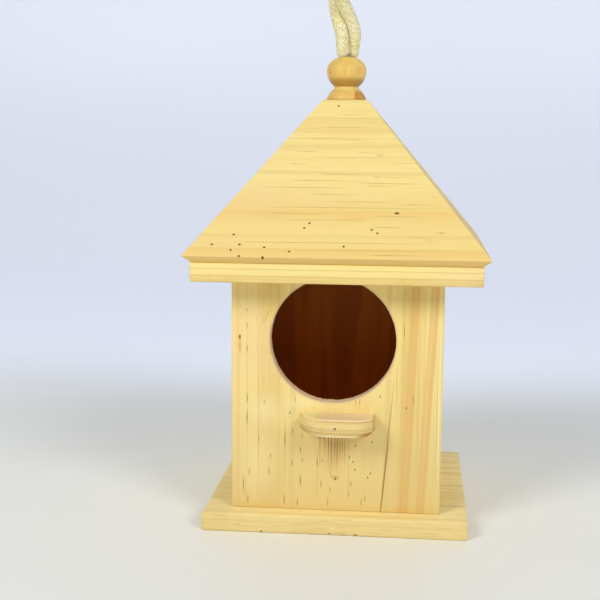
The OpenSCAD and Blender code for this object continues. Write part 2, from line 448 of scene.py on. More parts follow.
def cut_out(piece, shape):
    """Takes a cutter's shape out of a piece's mesh."""
    mesh = bpy.data.meshes.new("cutter")
    shape.to_mesh(mesh)
    shape.free()
    cutter = add_object("cutter", mesh)
    modifier = piece.modifiers.new("cut", "BOOLEAN")
    modifier.operation = "DIFFERENCE"
    modifier.solver = "EXACT"
    modifier.object = cutter
    result = bpy.data.meshes.new_from_object(piece.evaluated_get(bpy.context.evaluated_depsgraph_get()))
    piece.modifiers.clear()
    piece.data = result
    result.set_sharp_from_angle(angle=math.radians(SHARP_FROM))
    bpy.data.objects.remove(cutter)


def loops_to_faces(count, size, closed=True):
    """Quads between consecutive loops of points. Unless they form a ring, both ends get a face."""
    faces = []
    for k in range(count if closed else count - 1):
        following = (k + 1) % count
        for j in range(size):
            j2 = (j + 1) % size
            faces.append([k * size + j, k * size + j2, following * size + j2, following * size + j])
    if not closed:
        faces.append(list(range(size)))
        faces.append([(count - 1) * size + k for k in range(size)])
    return faces


# ---- Rope ----

ROPE_RADIUS = 3.0 * MM
# The free rope is a little fuller than its CAD tube
LOOSE_RADIUS = 1.035 * ROPE_RADIUS
ROPE_STEP = 0.28 * MM

# The free loop's route above the place where its strands leave the ball, as in the part
LOOP_ROUTE_MM = [
    (-2, -1.9, 0), (-2.6, -1.2, 6), (-4.5, 0.2, 12.5), (-6.1, 2.6, 19.5), (-6.7, 6, 26.5),
    (-7.5, 9.5, 33), (-8.5, 13, 39.5), (-9, 15, 46.5), (-9.5, 14, 53.5), (-10, 10, 59.5),
    (-10, 4, 63), (-10, -3, 63.5), (-10, -9.5, 60.5), (-9.5, -14, 55), (-9, -15.5, 48),
    (-8, -14.5, 41), (-7, -12, 34.5), (-5.5, -8.5, 28), (-2.7, -5, 22), (0.6, -1.6, 15.5),
    (3.4, 0.9, 8), (2.85, 1.85, 0)
]


def curve_through(route, per_span):
    """Points on the smooth curve through a route, the same curve that the part uses."""
    points = []
    last = len(route) - 1
    for i in range(last):
        a, b, c, d = route[max(i - 1, 0)], route[i], route[i + 1], route[min(i + 2, last)]
        for step in range(per_span):
            u = step / per_span
            points.append(0.5 * (2 * b + (c - a) * u + (2 * a - 5 * b + 4 * c - d) * u * u
                                 + (3 * b - a - 3 * c + d) * u ** 3))
    points.append(route[last].copy())
    return points


def even_points(points, spacing):
    """The same line with its points an even distance apart, and that distance."""
    travelled = [0.0]
    for a, b in zip(points, points[1:]):
        travelled.append(travelled[-1] + (b - a).length)
    count = max(2, round(travelled[-1] / spacing))
    result = []
    k = 0
    for n in range(count + 1):
        want = travelled[-1] * n / count
        while k < len(points) - 2 and travelled[k + 1] < want:
            k += 1
        part = (want - travelled[k]) / max(1e-9, travelled[k + 1] - travelled[k])
        result.append(points[k].lerp(points[k + 1], min(1.0, part)))
    return result, travelled[-1] / count


# The braid's strands each way, the length of one turn, and its relief as a share of the radius
BRAID_STRANDS = 11
BRAID_PITCH = 15.0 * MM
BRAID_DEPTH = 0.085


def braid_height(turn, along):
    """Height of a round braid's surface, -1 to 1. Two sets of strands wind opposite ways and cross."""
    right = BRAID_STRANDS * (turn + along / BRAID_PITCH)
    left = BRAID_STRANDS * (turn - along / BRAID_PITCH)
    over = math.cos(math.pi * (right - left)) * math.cos(math.pi * (right + left) / 2)
    crown_right = abs(math.cos(math.pi * right)) ** 0.7
    crown_left = abs(math.cos(math.pi * left)) ** 0.7
    high_right = crown_right - 0.45 + 0.35 * over
    high_left = crown_left - 0.45 - 0.35 * over
    return max(high_right, high_left)


def braided_tube(points, spacing, radius_at, sides=72, start=0.0):
    """Points and faces of a braided rope along a line, with frames that never run along X."""
    ring_points = []
    count = len(points)
    for n, centre in enumerate(points):
        along = (points[min(n + 1, count - 1)] - points[max(n - 1, 0)]).normalized()
        side = Vector((1, 0, 0)).cross(along).normalized()
        other = along.cross(side)
        travelled = start + n * spacing
        for k in range(sides):
            turn = k / sides
            height = braid_height(turn, travelled)
            spread = radius_at(travelled) * (1 + BRAID_DEPTH * height)
            angle = 2 * math.pi * turn
            ring_points.append(centre + (side * math.cos(angle) + other * math.sin(angle)) * spread)
    return ring_points, loops_to_faces(count, sides, closed=False)


def cotton_material():
    tree = Tree("braided_cotton")
    fuzz = tree.noise(tree.place, 3.0, 4.0, 0.7)
    tone = tree.noise(tree.place, 0.10, 2.0)
    tuft, _ = tree.cells(tree.place, 0.85)
    colour = tree.mix(tree.smooth(tone, 0.40, 0.62), (0.84, 0.77, 0.42), (0.88, 0.81, 0.55))
    colour = tree.mix(tree.times(tree.smooth(tuft, 0.30, 0.02), 0.45), colour, (0.97, 0.95, 0.78))
    # Painted shade: darker between the tufts, for the braid's crevices
    colour = tree.mix(tree.times(tree.smooth(tuft, 0.42, 0.62), 0.50), colour, (0.60, 0.50, 0.20))
    colour = tree.mix(tree.times(tree.smooth(fuzz, 0.5, 0.25), 0.30), colour, (0.62, 0.54, 0.28))
    tree.tune({"Sheen Weight": 0.20, "Sheen Roughness": 0.5, "Specular IOR Level": 0.2})
    return tree.finish(colour, 0.90, tree.bump(fuzz, 0.30, 0.8))


cotton = cotton_material()

foot = Vector((0, 0, tails_high.z))
loop_line = curve_through([Vector(p) * MM + foot for p in LOOP_ROUTE_MM], 12)
loop_points, loop_step = even_points(loop_line, ROPE_STEP)
loop_length = loop_step * (len(loop_points) - 1)
loop_tube = braided_tube(loop_points, loop_step, lambda travelled: LOOSE_RADIUS)
rope = add_piece("hanging_loop", loop_tube, cotton, "hanging_rope", ROPE_SHARP_FROM)


# Radius of one strand in the bore, and where below the loop's foot it is squeezed to that
STRAND_IN_BORE = 1.92 * MM
SQUEEZE_FROM_MM = 4.4
SQUEEZE_TO_MM = 7.0


def tail_tube(inside, top, side, start):
    """One strand, from just inside the loop's foot down through the ball to the knot."""
    bottom = tails_low.z + 0.3 * MM
    mouth = finial_high.z
    place = Vector((1, 1, 0)).normalized() * (STRAND_IN_BORE + 0.03 * MM) * side
    route = [inside, top, top * 2 - inside,
             Vector((top.x * 0.85, top.y * 0.85, mouth + 1.0 * MM))]
    for height in (mouth - 2 * MM, (mouth + bottom) / 2, bottom):
        route.append(Vector((place.x, place.y, height)))
    line, step = even_points(curve_through(route, 10), ROPE_STEP)

    def radius(travelled):
        depth = abs(travelled - start) / MM
        squeeze = min(1.0, max(0.0, (depth - SQUEEZE_FROM_MM) / (SQUEEZE_TO_MM - SQUEEZE_FROM_MM)))
        squeeze = squeeze * squeeze * (3 - 2 * squeeze)
        return LOOSE_RADIUS * 0.99 * (1 - squeeze) + STRAND_IN_BORE * squeeze
    return braided_tube(line, step, radius, start=start)


tail_points = []
tail_faces = []
for inside, end, side, start in ((loop_points[4], loop_points[0], -1, 0.0),
                                 (loop_points[-5], loop_points[-1], 1, loop_length)):
    points, faces = tail_tube(inside, end, side, start)
    tail_faces += [[len(tail_points) + k for k in face] for face in faces]
    tail_points += points
add_piece("strands_in_ball", (tail_points, tail_faces), cotton, "rope_tails", ROPE_SHARP_FROM)


def knot_tube():
    """An overhand knot pulled tight, with its two ends hanging down."""
    middle = (knot_low + knot_high) / 2
    middle.z = knot_high.z - 6.2 * MM
    across = 3.7 * MM
    turns = []
    for step in range(25):
        t = 2 * math.pi * step / 24 + 0.4
        turns.append(middle + Vector((math.sin(t) + 2 * math.sin(2 * t),
                                      math.cos(t) - 2 * math.cos(2 * t),
                                      -1.1 * math.sin(3 * t))) * across * 0.45)
    ends = [Vector((knot_high.x - 3.4 * MM, 1.2 * MM, knot_low.z + 3.4 * MM)),
            Vector((knot_low.x + 3.4 * MM, -1.2 * MM, knot_low.z + 3.4 * MM))]
    return [ends[0], ends[0].lerp(turns[0], 0.5)] + turns[:-1] + [ends[1].lerp(turns[-2], 0.5), ends[1]]


knot_line, knot_step = even_points(curve_through(knot_tube(), 6), 0.6 * MM)
knot = braided_tube(knot_line, knot_step, lambda travelled: 2.6 * MM, sides=32)
add_piece("stopper_knot", knot, cotton, "rope_knot", ROPE_SHARP_FROM)


# ---- Box ----

UP = (0, 0, 1)
X = (1, 0, 0)
Y = (0, 1, 0)


def add_board(name, node, material, seed, edge=BOARD_EDGE):
    """Adds a plain board in the place of a CAD node."""
    return add_piece(name, board_mesh(*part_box(node), seed, edge), material, node)


BASE_LIGHT = (0.97, 0.80, 0.36)
BASE_DARK = (0.90, 0.71, 0.30)
BASE_LEFT_SHADE = (0.78, 0.60, 0.24)
BASE_FRONT_EDGE = (0.76, 0.57, 0.22)


def base_wood():
    """The base board: u is X, v is Y and w is Z."""
    wood = Wood("base_pine", X, Y, 3.0, face=base_high.z / MM, pith=(-20.0, -55.0), light=BASE_LIGHT,
                dark=BASE_DARK)
    wood.strokes(scattered(61, 26, (-60, 60), (-60, 40), (10, 45), (0.3, 0.6)), LINE, 0.30)
    wood.strokes([(v, 48, 63, 0.6) for v in (-37, -24, -15, -9, 2, 8, 19, 27, 38)], LINE, 0.50)
    wood.strokes([(v, -63, -48, 0.6) for v in (-30, -12, 5, 21, 40)], LINE, 0.40)
    wood.dots([(-53.5, -50.5), (-56.5, 30.0)], 0.35, BROWN)
    # Painted shade on the left end of the top, beside the box
    wood.paint(BASE_LEFT_SHADE, 0.35, wood.smooth(wood.u, -47.0, -53.0))
    # The front edge is sawn and a little darker, with a few pits along its foot
    front_edge = wood.smooth(wood.v, base_low.y / MM + 0.7, base_low.y / MM + 0.2)
    wood.paint(BASE_FRONT_EDGE, 0.55, front_edge)
    saw = wood.noise(wood.combine(wood.times(wood.u, 0.08), 3.0, wood.times(wood.w, 0.9)), detail=3.0)
    wood.paint(LINE, 0.30, front_edge, wood.smooth(saw, 0.5, 0.7))
    wood.carve(wood.times(front_edge, saw), 0.8)
    pits = FAR_OFF
    for u, w, reach in ((-1.5, 0.6, 0.8), (10.5, 0.5, 1.6), (-34.0, 0.5, 0.6)):
        away = wood.combine(wood.times(wood.plus(wood.u, -u), 1 / reach), 0.0, wood.plus(wood.w, -w))
        pits = wood.math("MINIMUM", pits, wood.vector("LENGTH", away))
    wood.paint(DARK, 0.85, wood.smooth(pits, 1.0, 0.4), front_edge)
    wood.paint_chamber_shade()
    return wood.close()


def wall_wood(name, seed, across, face, bands):
    """A plain wall with seeded marks and two latewood bands."""
    wood = Wood(name, UP, across, seed, face=face, pith=(-15.0, -60.0))
    spread, tall = (-48, 48), (10, 110)
    wood.strokes(scattered(seed, 7, spread, (10, 60), (30, 60), (0.3, 0.45)), LINE, 0.42)
    wood.strokes(scattered(seed + 1, 34, spread, tall, (2, 6), (0.25, 0.45)), BROWN, 0.55, depth=0.6)
    wood.dots([(v, u) for v, u, _, _ in scattered(seed + 2, 9, spread, tall, (1, 2), (1, 2))], 0.45)
    wood.band(bands[0], 3.0, 0.03, strength=0.5, centre=60.0)
    wood.band(bands[1], 2.6, 0.04, strength=0.4, centre=60.0)
    wood.paint_chamber_shade()
    return wood.close()


# The entrance, as in the part
HOLE_CENTRE = Vector((-1.8 * MM, front_low.y, 91.1 * MM))
HOLE_RADIUS = 29.75 * MM

# Grain marks of the front wall, in mm, as (X, lowest Z, highest Z, half width)
FRONT_LINES = [
    (-44.2, 12, 28, 0.3), (-43.4, 9, 26, 0.3), (-42.5, 8, 112, 0.18), (-37.0, 9, 92, 0.35),
    (-24.1, 8, 71, 0.38), (-8.6, 8, 46, 0.4), (6.3, 8, 45, 0.4), (-29.7, 72, 76, 0.35),
    (-38.2, 99, 103, 0.3), (28.5, 56, 84, 0.5), (38.6, 8, 115, 0.3), (47.8, 8, 110, 0.3)
]
FRONT_DASHES = [
    (-42.5, 104, 106, 0.35), (-42.5, 96, 99.5, 0.35), (-42.5, 84, 89.5, 0.35), (-42.5, 59, 66, 0.4),
    (-42.6, 48, 58, 0.45), (-41.4, 23.5, 29, 0.35), (-42.1, 10, 15.5, 0.4), (-44.4, 15, 25, 0.35),
    (-31.1, 32.5, 36.5, 0.35), (-31.8, 24.5, 29.5, 0.4), (-24.1, 37, 49, 0.4), (-24.1, 9, 17, 0.4),
    (-20.4, 45, 49, 0.35), (-20.6, 29, 33.5, 0.4), (-16.5, 35.5, 40.5, 0.45),
    (-15.6, 31.5, 34.5, 0.4), (-15.7, 43.5, 46.5, 0.4), (-16.5, 19, 27, 0.55),
    (-17.9, 9.5, 14.5, 0.45), (-8.6, 29, 35, 0.4), (-6.3, 31.5, 34.5, 0.35),
    (-6.8, 18.5, 24.5, 0.35), (-2.4, 16.5, 20.5, 0.35), (-3.5, 9.5, 15.5, 0.3), (7.6, 20, 24, 0.4),
    (6.5, 15, 19, 0.35), (12.7, 10.5, 15.5, 0.35), (14.4, 13, 17, 0.35), (-19.1, 60, 64.5, 0.25),
    (-34.2, 59, 63, 0.3), (9.3, 59.5, 64.5, 0.3), (11.2, 60, 64.5, 0.35), (-45.9, 84, 90, 0.4),
    (31.5, 92, 101, 0.3), (36.4, 60, 68, 0.25), (-36.9, 40, 46, 0.3)
]
FRONT_DOTS = [
    (35.0, 6.7), (6.7, 35.0), (8.5, 33.0), (9.4, 29.0), (9.5, 41.0), (15.6, 25.5), (17.5, 43.0),
    (21.0, 65.0), (33.0, 59.8), (-21.8, 56.0), (-2.0, 47.6), (16.9, 27.5)
]


# Colours that only the front wall has, named after their places
FRONT_FOOT_SHADE = (0.73, 0.552, 0.220)
UNDER_PERCH_SHADOW = (0.64, 0.39, 0.14)
LEFT_BAND = (0.82, 0.50, 0.22)
RIGHT_BAND = (0.75, 0.475, 0.15)
RIGHT_BAND_CORE = (0.74, 0.43, 0.13)
SWIRL = (0.60, 0.40, 0.14)
KNOT_TAIL = (0.78, 0.44, 0.12)
HOLE_RIM_SHADOW = (0.50, 0.34, 0.14)
HOLE_SAWN = (0.90, 0.66, 0.42)
HOLE_FUZZ = (0.98, 0.86, 0.66)


def front_wood():
    """The front wall: u is Z, v is X and w is Y."""
    wood = Wood("front_pine", UP, X, 7.0, face=front_low.y / MM, pith=(2.0, 30.0), wave=1.2)
    # Broad tones: painted shade deeper towards the foot, pale between the hole and the perch
    wood.paint(FRONT_FOOT_SHADE, 0.62, wood.smooth(wood.u, 78.0, 20.0))
    wood.patch(-14.0, 61.0, 16.0, 5.0, CREAM, 0.5)
    wood.patch(-34.0, 57.0, 16.0, 12.0, CREAM, 0.5)
    wood.patch(-37.0, 30.0, 14.0, 24.0, CREAM, 0.35)
    # Painted shadow on the wall under the perch
    wood.patch(-1.0, 36.0, 9.5, 15.0, UNDER_PERCH_SHADOW, 0.55)
    wood.band(-46.4, 2.6, colour=LEFT_BAND, strength=0.45)
    for place, width, slope in ((37.0, 7.5, 0.037), (45.6, 4.6, 0.045)):
        wood.band(place, width, slope, RIGHT_BAND, 0.78, sharp=0.8, centre=80.0)
        wood.band(place - 2.6, 1.8, slope, RIGHT_BAND_CORE, 0.45, centre=80.0)
    wood.band(23.0, -3.5, 0.06, TAN, 0.35, centre=40.0)
    # A painted highlight along the right arris
    wood.strokes([(48.6, 5, 122, 0.9)], CREAM, 0.5)
    # Lines and short canals along the grain
    wood.strokes(FRONT_LINES, LINE, 0.40)
    wood.strokes(FRONT_DASHES, BROWN, 0.66, depth=0.3)
    wood.dots(FRONT_DOTS, 0.34, DARK, 0.8, stretch=2.2)
    wood.strokes([(-33.1, 97, 107, 0.45), (-35.0, 96, 104, 0.3)], LINE, 0.6, slope=0.33)
    # Streaks under the perch, and a pin knot with its swirl
    streaks = ((-3.3, 29), (-1.9, 23.5), (-0.3, 27), (0.8, 22.5), (3.1, 33))
    faint_streaks = ((-7.4, 27), (-5.2, 33), (2.0, 30), (4.3, 26), (6.0, 36))
    wood.strokes([(v, low, 62, 0.31) for v, low in streaks], BROWN, 0.80, depth=0.3)
    wood.strokes([(v, low, 60, 0.45) for v, low in faint_streaks], BROWN, 0.42)
    wood.patch(0.0, 25.0, 2.6, 1.6, SWIRL, 0.7)
    wood.strokes([(-2.0, 22.8, 29, 0.35)], BROWN, 0.35, slope=-0.45)
    wood.strokes([(1.3, 23.4, 27, 0.30)], BROWN, 0.30, slope=0.45)
    wood.dots([(0.0, 24.2)], 0.7, BROWN, 0.9)
    # A pin knot near the left edge, with an orange tail
    wood.patch(-46.0, 88.5, 1.3, 7.0, KNOT_TAIL, 0.7)
    wood.dots([(-46.0, 92.1)], 0.75, BROWN, 0.95, stretch=1.7)
    # The long check at the right
    wood.strokes([(24.6, -2, 84, 0.40)], BROWN, 0.62, slope=0.088, depth=0.4)
    wood.strokes([(23.3, -10, 52, 0.34)], DARK, 0.66, slope=0.092, soft=0.6, depth=0.8)
    # The sawn wall of the hole is pale and fuzzy, with a thin painted shadow line outside its rim
    from_hole = wood.vector("LENGTH", wood.combine(wood.plus(wood.v, -HOLE_CENTRE.x / MM),
                                                   wood.plus(wood.u, -HOLE_CENTRE.z / MM), 0.0))
    radius = HOLE_RADIUS / MM
    outline = wood.span(from_hole, radius + 0.2, radius + 0.5, radius + 0.5, radius + 0.9)
    wood.paint(HOLE_RIM_SHADOW, 0.36, outline)
    fuzz = wood.noise(wood.place, 1.3, 4.0, 0.7)
    cut = wood.smooth(from_hole, radius + 0.40, radius + 0.15)
    wood.paint(HOLE_SAWN, 0.92, cut)
    wood.paint(HOLE_FUZZ, 0.5, cut, wood.smooth(fuzz, 0.50, 0.75))
    wood.carve(wood.times(cut, fuzz), 2.0)
    wood.paint_chamber_shade()
    return wood.close()


# The torn part of the hole's rim, in degrees round from +X
TORN_AT = 262.0
TORN_SPREAD = 9.0
HOLE_SIDES = 240
# Loops between the hole and the board's edge, on each face
FACE_LOOPS = 16
# The hole's worn rim on the outer face
RIM = 0.35 * MM
# Further off than any edge of the board
FAR_AWAY = 9.0


def hole_section(radius, reach, front, back, edge):
    """(Distance from the centre, Y) pairs: out over the face, round the edge, back and through."""
    depth = back - front
    section = []
    for k in range(FACE_LOOPS + 1):
        section.append((radius + RIM + (reach - edge - radius - RIM) * k / FACE_LOOPS, front))
    section += [(reach - 0.3 * edge, front + 0.3 * edge), (reach, front + edge)]
    section += [(reach, front + depth * k / 4) for k in (1, 2, 3)]
    section += [(reach, back - edge), (reach - 0.3 * edge, back - 0.3 * edge)]
    for k in range(FACE_LOOPS + 1):
        section.append((reach - edge + (radius + edge - reach + edge) * k / FACE_LOOPS, back))
    section.append((radius, back - 0.3 * MM))
    section += [(radius, back - depth * k / 6) for k in (1, 2, 3, 4, 5)]
    section += [(radius, front + RIM), (radius + 0.25 * RIM, front + 0.25 * RIM)]
    return section


def wall_with_hole(low, high, centre, radius, edge=0.6 * MM):
    """Points and faces of a board with a worn round hole, made of one section at each angle round it."""
    corners = [(low.x, low.z), (high.x, low.z), (high.x, high.z), (low.x, high.z)]
    corner_angles = [math.atan2(z - centre.z, x - centre.x) % (2 * math.pi) for x, z in corners]
    angles = [2 * math.pi * k / HOLE_SIDES for k in range(HOLE_SIDES)]
    angles += [a + d for a in corner_angles for d in (-0.006, 0.0, 0.006)]
    angles = sorted(set(round(angle, 6) for angle in angles))
    points = []
    for angle in angles:
        c, s = math.cos(angle), math.sin(angle)
        # How far the board reaches from the hole's centre this way
        reach = FAR_AWAY
        for toward, side in ((c, high.x - centre.x), (c, low.x - centre.x),
                             (s, high.z - centre.z), (s, low.z - centre.z)):
            if toward * side > 1e-12:
                reach = min(reach, side / toward)
        torn = math.exp(-((math.degrees(angle) - TORN_AT) / TORN_SPREAD) ** 2)
        for r, y in hole_section(radius, reach, low.y, high.y, edge):
            p = Vector((centre.x + r * c, y, centre.z + r * s))
            shift = wavy(p, 0.10 * MM, 0.05, 4.0)
            if abs(r - radius) < 1.0 * MM:
                fray = noise.noise(p / MM * (0.55 + 0.5 * torn) + Vector((3, 8, 1)))
                p += Vector((c, 0, s)) * (fray * (0.14 + 0.55 * torn) * MM)
            inward = 1 if y < (low.y + high.y) / 2 else -1
            p.y += inward * abs(shift.y)
            points.append(p)
    return points, loops_to_faces(len(angles), len(points) // len(angles))


# The heads of the nails that hold the walls lie in round dents under the base board
NAIL_HEAD_RADIUS = 1.85 * MM
NAIL_DENT_DEPTH = 1.0 * MM
NAIL_SPREAD = 30.0 * MM
wall_middle = (left_high.x + left_low.x) / 2
nail_places = [place for along in (-NAIL_SPREAD, NAIL_SPREAD) for side in (-wall_middle, wall_middle)
               for place in ((along, side, base_low.z), (side, along, base_low.z))]

base = add_board("base", "base_board", base_wood(), 2.0, 1.0 * MM)
cut_out(base, drill_cutter(nail_places, NAIL_HEAD_RADIUS, 2 * NAIL_DENT_DEPTH))
for n, (side, seed, across, outer, bands) in enumerate((("back", 17, X, back_high.y, (-28.0, -40.0)),
                                                        ("left", 11, Y, -left_low.x, (30.0, 41.0)),
                                                        ("right", 13, Y, -right_high.x, (30.0, 41.0)))):
    wood = wall_wood(side + "_pine", seed, across, outer / MM, bands)
    add_board("wall_" + side, side + "_wall", wood, 3.0 + n)
wall = wall_with_hole(front_low, front_high, HOLE_CENTRE, HOLE_RADIUS)
add_piece("wall_front", wall, front_wood(), "front_wall")


# ---- Perch ----

PERCH_LEFT_R = 14.0 * MM
PERCH_RIGHT_R = 8.0 * MM
PERCH_BOW = 0.5 * MM


def arc(centre, radius, first, last, count):
    angles = [math.radians(first + (last - first) * k / count) for k in range(count + 1)]
    return [centre + Vector((math.cos(a), math.sin(a))) * radius for a in angles]


def perch_outline():
    """Seen from above: round the left corner, along the slightly bowed front, round the right corner."""
    left, right, front, back = perch_low.x, perch_high.x, perch_low.y, perch_high.y
    near_left = Vector((left + PERCH_LEFT_R, front + PERCH_LEFT_R))
    near_right = Vector((right - PERCH_RIGHT_R, front + PERCH_RIGHT_R))
    outline = [Vector((left, back))] + arc(near_left, PERCH_LEFT_R, 180, 270, 16)
    start, stop = near_left.x, near_right.x
    for k in range(1, 8):
        outline.append(Vector((start + (stop - start) * k / 8, front)))
    outline += arc(near_right, PERCH_RIGHT_R, 270, 360, 12)
    outline += [Vector((right, back - 4 * MM)), Vector((right, back))]
    outline += [Vector((right + (left - right) * k / 10, back)) for k in range(1, 10)]
    middle = (left + right) / 2
    for p in outline:
        if p.y < back - 1 * MM:
            p.y += PERCH_BOW * ((p.x - middle) / (right - middle)) ** 2
    return outline


def perch_mesh(rings=5):
    """A small slab, rounded all round. Its left end is sanded away and its lower corners are rounder."""
    outline = perch_outline()
    count = len(outline)
    middle = sum(outline, Vector((0, 0))) / count
    left, right = perch_low.x, perch_high.x
    points = []

    def edge(p, top):
        if p.y > perch_high.y - 0.5 * MM:
            return 0.1 * MM
        along = (p.x - left) / (right - left)
        at_left = max(0.0, 1 - along / 0.42)
        at_right = max(0.0, (along - 0.78) / 0.22)
        if top:
            return (0.6 + 3.0 * at_left ** 1.3 + 0.3 * at_right) * MM
        return (0.9 + 2.6 * at_left ** 1.5 + 2.4 * at_right) * MM

    def inset(k, distance):
        along = (outline[(k + 1) % count] - outline[k - 1]).normalized()
        return outline[k] + Vector((-along.y, along.x)) * distance

    def lay(top, turn, scale=1.0):
        in_share = 1 - math.sin(math.radians(turn))
        rise_share = 1 - math.cos(math.radians(turn))
        for k, p in enumerate(outline):
            r = edge(p, top)
            flat = middle + (inset(k, r * in_share) - middle) * scale
            z = perch_high.z - r * rise_share if top else perch_low.z + r * rise_share
            place = Vector((flat.x, flat.y, z))
            outward = Vector((0, 0, 1 if top else -1))
            points.append(place - wavy(place, 0.05 * MM, 0.15, 5.0).magnitude * outward)

    scales = [(ring + 0.4) / (rings + 0.4) for ring in range(rings)]
    for scale in scales:
        lay(False, 0, scale)
    for turn in (0, 25, 45, 65, 90):
        lay(False, turn)
    for turn in (90, 65, 45, 25, 0):
        lay(True, turn)
    for scale in reversed(scales):
        lay(True, 0, scale)
    return points, loops_to_faces(len(points) // count, count, closed=False)


PERCH_LIGHT = (0.84, 0.64, 0.26)
PERCH_DARK = (0.76, 0.55, 0.21)
PERCH_TOP = (0.96, 0.74, 0.43)
PERCH_TOP_LEFT = (0.98, 0.83, 0.38)
PERCH_FOOT = (0.96, 0.85, 0.50)
PERCH_LEFT_END_SHADE = (0.46, 0.33, 0.11)
PERCH_RIGHT_FOOT = (0.45, 0.17, 0.03)
PERCH_RIGHT_END_SHADE = (0.40, 0.25, 0.10)


def perch_wood():
    """The perch: u is X, v is Y and w is Z."""
    left, right, top = perch_low.x / MM, perch_high.x / MM, perch_high.z / MM
    wood = Wood("perch_pine", X, Y, 23.0, face=top, pith=(-50.0, 20.0), light=PERCH_LIGHT,
                dark=PERCH_DARK)
    # The top is pink but for its left end
    on_top = wood.smooth(wood.off_face, -0.9, -0.3)
    pink = wood.smooth(wood.u, left + 7.0, left + 13.0)
    wood.paint(PERCH_TOP, 0.74, on_top, pink)
    wood.paint(PERCH_TOP_LEFT, 0.75, on_top, wood.smooth(wood.u, left + 13.0, left + 7.0))
    # Layers along the front, with a dark line just above the pale fuzzy foot that is painted shadow
    for depth, strength in ((1.0, 0.45), (4.6, 0.30), (5.4, 0.35), (6.3, 0.70), (7.1, 0.55)):
        wobble = wood.math("MULTIPLY_ADD", wood.line_noise(wood.u, 0.25), 0.7, depth - 0.35)
        off = wood.math("ABSOLUTE", wood.plus(wood.off_face, wobble))
        line = wood.smooth(off, 0.30, 0.08)
        if depth < 2.0:
            line = wood.times(line, pink)
        wood.paint(BROWN, strength, line)
    wood.paint(PERCH_FOOT, 0.9, wood.smooth(wood.off_face, -7.3, -7.9),
               wood.smooth(wood.u, -16.0, -8.0), wood.smooth(wood.u, 10.0, 7.0))
    # Painted shade on the lower left end, where its rounded side turns away from the light
    wood.paint(PERCH_LEFT_END_SHADE, 0.48, wood.smooth(wood.u, left + 9.0, left + 1.0),
               wood.smooth(wood.off_face, -2.0, -6.5))
    wood.paint(PERCH_RIGHT_FOOT, 0.8, wood.smooth(wood.u, right - 9.0, right - 2.5),
               wood.smooth(wood.off_face, -5.8, -7.0))
    # Painted shade on the right end
    wood.paint(PERCH_RIGHT_END_SHADE, 0.4, wood.smooth(wood.u, right - 0.9, right - 0.2))
    return wood.close(0.16)


add_piece("perch_block", perch_mesh(), perch_wood(), "perch")


# ---- Roof ----

ROOF_BOARD_THICK = 8.0 * MM
CAP_HALF = 10.8 * MM
ARRIS_RISE = 3.2 * MM
roof_half = roof_high.x
arris_z = roof_low.z + ARRIS_RISE
cap_z = roof_high.z
roof_slope = math.atan2(cap_z - arris_z, roof_half - CAP_HALF)


def roof_profile():
    """The board's section as (distance out, height) corners, from the arris round to the cap."""
    thick_out = ROOF_BOARD_THICK * math.sin(roof_slope)
    thick_up = ROOF_BOARD_THICK * math.cos(roof_slope)
    seat_out = roof_half - ARRIS_RISE * math.tan(roof_slope)
    seat_in = roof_half - thick_out - (ARRIS_RISE - thick_up) / math.tan(roof_slope)
    bore = 4.3 * MM
    cap_inner = CAP_HALF - ROOF_BOARD_THICK / math.sin(roof_slope)
    inner_top = cap_z - (bore - cap_inner) * math.tan(roof_slope)
    return [Vector((roof_half, arris_z)), Vector((seat_out, roof_low.z)), Vector((seat_in, roof_low.z)),
            Vector((bore, inner_top)), Vector((bore, cap_z)), Vector((CAP_HALF, cap_z))]


def rounded(corners, radius, spacing):
    """A closed section with small rounded corners and its long sides cut into even steps."""
    result = []
    count = len(corners)
    for k in range(count):
        here, before, after = corners[k], corners[k - 1], corners[(k + 1) % count]
        start = here + (before - here).normalized() * radius
        stop = here + (after - here).normalized() * radius
        result += [start, (start + stop + here * 2) / 4, stop]
        following = after + (here - after).normalized() * radius
        cuts = int((following - stop).length / spacing)
        result += [stop.lerp(following, (n + 1) / (cuts + 1)) for n in range(cuts)]
    return result


def roof_board(turn, seed):
    section = rounded(roof_profile(), 0.45 * MM, 4.0 * MM)
    middle = sum(section, Vector((0, 0))) / len(section)
    shares = [-1.0, -0.997] + [-0.99 + 1.98 * k / 30 for k in range(31)] + [0.997, 1.0]
    points = []
    for share in shares:
        for out, up in section:
            pull = 0.35 * MM if abs(share) == 1.0 else 0.0
            toward = (middle - Vector((out, up))).normalized() * pull
            out, up = out + toward.x, up + toward.y
            p = Vector((share * out, -out, up))
            fold = wavy(p, 0.12 * MM, 0.05, seed)
            p.z -= abs(fold.z)
            p.y += abs(fold.y) if abs(share) < 0.995 else 0
            points.append(Matrix.Rotation(turn, 3, "Z") @ p)
    return points, loops_to_faces(len(shares), len(section), closed=False)


